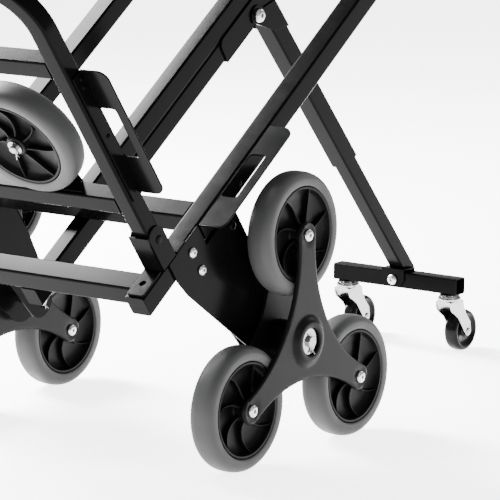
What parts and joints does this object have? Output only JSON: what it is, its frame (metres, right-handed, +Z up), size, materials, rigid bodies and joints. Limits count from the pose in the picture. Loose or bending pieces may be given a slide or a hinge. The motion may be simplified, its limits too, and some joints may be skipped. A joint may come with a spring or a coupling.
{
  "type": "stair-climbing hand trolley",
  "caption": "Folding steel hand trolley with tri-star stair wheels, a tube platform, a telescoping handle and a caster support leg.",
  "frame": {"origin": "on the ground, under the middle of the trolley's bounding box", "axes": "+X to the trolley's right, -Y towards the load platform, +Z up"},
  "size_m": [0.57, 1.1888, 0.9107],
  "materials": {
    "black_paint": "satin powder coat",
    "wheel_plastic": "moulded, satin",
    "star_plastic": "moulded, satin",
    "tyre": "grey solid rubber",
    "zinc": "bright zinc plate",
    "chrome": "bright chrome plate",
    "caster_plastic": "moulded, semi-gloss",
    "foam": "closed-cell foam"
  },
  "bodies": {
    "frame": {"upright_right": "black_paint", "upright_left": "black_paint", "bottom_bar": "black_paint", "lower_bar": "black_paint", "top_bar": "black_paint", "centre_rail": "black_paint", "centre_brace": "black_paint", "axle_bracket_right": "black_paint", "axle_bracket_left": "black_paint", "hinge_bracket_right": "black_paint", "hinge_bracket_left": "black_paint", "side_wing_right": "black_paint", "side_wing_left": "black_paint", "leg_bracket": "black_paint", "leg_pivot_bolt": "zinc", "spindle_right": "zinc", "spindle_left": "zinc"},
    "platform": {"platform_loop": "black_paint", "front_bar": "black_paint", "rear_bar": "black_paint", "platform_wing_right": "black_paint", "platform_wing_left": "black_paint", "wheel_bracket_right": "black_paint", "wheel_bracket_left": "black_paint"},
    "spare_wheel_right": {"spare_rim_right": "wheel_plastic", "spare_tyre_right": "tyre"},
    "spare_wheel_left": {"spare_rim_left": "wheel_plastic", "spare_tyre_left": "tyre"},
    "cluster_right": {"star_outer_right": "star_plastic", "star_inner_right": "star_plastic", "wheel_bolt_right_top": "zinc", "wheel_bolt_right_front": "zinc", "wheel_bolt_right_rear": "zinc"},
    "wheel_right_top": {"rim_right_top": "wheel_plastic", "tyre_right_top": "tyre"},
    "wheel_right_front": {"rim_right_front": "wheel_plastic", "tyre_right_front": "tyre"},
    "wheel_right_rear": {"rim_right_rear": "wheel_plastic", "tyre_right_rear": "tyre"},
    "cluster_left": {"star_outer_left": "star_plastic", "star_inner_left": "star_plastic", "wheel_bolt_left_top": "zinc", "wheel_bolt_left_front": "zinc", "wheel_bolt_left_rear": "zinc"},
    "wheel_left_top": {"rim_left_top": "wheel_plastic", "tyre_left_top": "tyre"},
    "wheel_left_front": {"rim_left_front": "wheel_plastic", "tyre_left_front": "tyre"},
    "wheel_left_rear": {"rim_left_rear": "wheel_plastic", "tyre_left_rear": "tyre"},
    "leg": {"leg_sleeve": "black_paint"},
    "leg_extension": {"leg_tube": "black_paint", "caster_bar_bolt": "zinc"},
    "caster_beam": {"caster_bar": "black_paint"},
    "caster_right": {"caster_fork_right": "chrome"},
    "caster_roller_right": {"caster_wheel_right": "caster_plastic"},
    "caster_left": {"caster_fork_left": "chrome"},
    "caster_roller_left": {"caster_wheel_left": "caster_plastic"},
    "handle": {"handle_loop": "black_paint", "handle_grip": "foam"}
  },
  "joints": [
    {"name": "platform_fold", "type": "hinge", "parent": "frame", "child": "platform", "pos_m": [0, -0.33627, 0.31708], "axis": [-1, 0, 0], "range_deg": [0, 90]},
    {"name": "spare_wheel_spin_right", "type": "hinge", "parent": "platform", "child": "spare_wheel_right", "pos_m": [0.085, -0.43854, 0.44804], "axis": [0, 0.8151, 0.5793], "continuous": true},
    {"name": "spare_wheel_spin_left", "type": "hinge", "parent": "platform", "child": "spare_wheel_left", "pos_m": [-0.085, -0.43854, 0.44804], "axis": [0, 0.8151, 0.5793], "continuous": true},
    {"name": "cluster_spin_right", "type": "hinge", "parent": "frame", "child": "cluster_right", "pos_m": [0.252, -0.0976, 0.153], "axis": [1, 0, 0], "continuous": true},
    {"name": "wheel_spin_right_top", "type": "hinge", "parent": "cluster_right", "child": "wheel_right_top", "pos_m": [0.252, -0.0976, 0.294], "axis": [1, 0, 0], "continuous": true},
    {"name": "wheel_spin_right_front", "type": "hinge", "parent": "cluster_right", "child": "wheel_right_front", "pos_m": [0.252, -0.21971, 0.0825], "axis": [1, 0, 0], "continuous": true},
    {"name": "wheel_spin_right_rear", "type": "hinge", "parent": "cluster_right", "child": "wheel_right_rear", "pos_m": [0.252, 0.02451, 0.0825], "axis": [1, 0, 0], "continuous": true},
    {"name": "cluster_spin_left", "type": "hinge", "parent": "frame", "child": "cluster_left", "pos_m": [-0.252, -0.0976, 0.153], "axis": [1, 0, 0], "continuous": true},
    {"name": "wheel_spin_left_top", "type": "hinge", "parent": "cluster_left", "child": "wheel_left_top", "pos_m": [-0.252, -0.0976, 0.294], "axis": [1, 0, 0], "continuous": true},
    {"name": "wheel_spin_left_front", "type": "hinge", "parent": "cluster_left", "child": "wheel_left_front", "pos_m": [-0.252, -0.21971, 0.0825], "axis": [1, 0, 0], "continuous": true},
    {"name": "wheel_spin_left_rear", "type": "hinge", "parent": "cluster_left", "child": "wheel_left_rear", "pos_m": [-0.252, 0.02451, 0.0825], "axis": [1, 0, 0], "continuous": true},
    {"name": "leg_fold", "type": "hinge", "parent": "frame", "child": "leg", "pos_m": [0, 0.14524, 0.54272], "axis": [-1, 0, 0], "range_deg": [0, 90]},
    {"name": "leg_slide", "type": "slide", "parent": "leg", "child": "leg_extension", "axis": [0, -0.6494, 0.7604], "range_m": [0, 0.13]},
    {"name": "caster_bar_rock", "type": "hinge", "parent": "leg_extension", "child": "caster_beam", "pos_m": [0, 0.53094, 0.10544], "axis": [0, 1, 0], "range_deg": [-4, 4]},
    {"name": "caster_swivel_right", "type": "hinge", "parent": "caster_beam", "child": "caster_right", "pos_m": [0.093, 0.53094, 0.09294], "axis": [0, 0, 1], "continuous": true},
    {"name": "caster_roll_right", "type": "hinge", "parent": "caster_right", "child": "caster_roller_right", "pos_m": [0.093, 0.56294, 0.0315], "axis": [1, 0, 0], "continuous": true},
    {"name": "caster_swivel_left", "type": "hinge", "parent": "caster_beam", "child": "caster_left", "pos_m": [-0.093, 0.53094, 0.09294], "axis": [0, 0, 1], "continuous": true},
    {"name": "caster_roll_left", "type": "hinge", "parent": "caster_left", "child": "caster_roller_left", "pos_m": [-0.093, 0.56294, 0.0315], "axis": [1, 0, 0], "continuous": true},
    {"name": "handle_slide", "type": "slide", "parent": "frame", "child": "handle", "axis": [0, -0.8151, -0.5793], "range_m": [0, 0.27]}
  ]
}
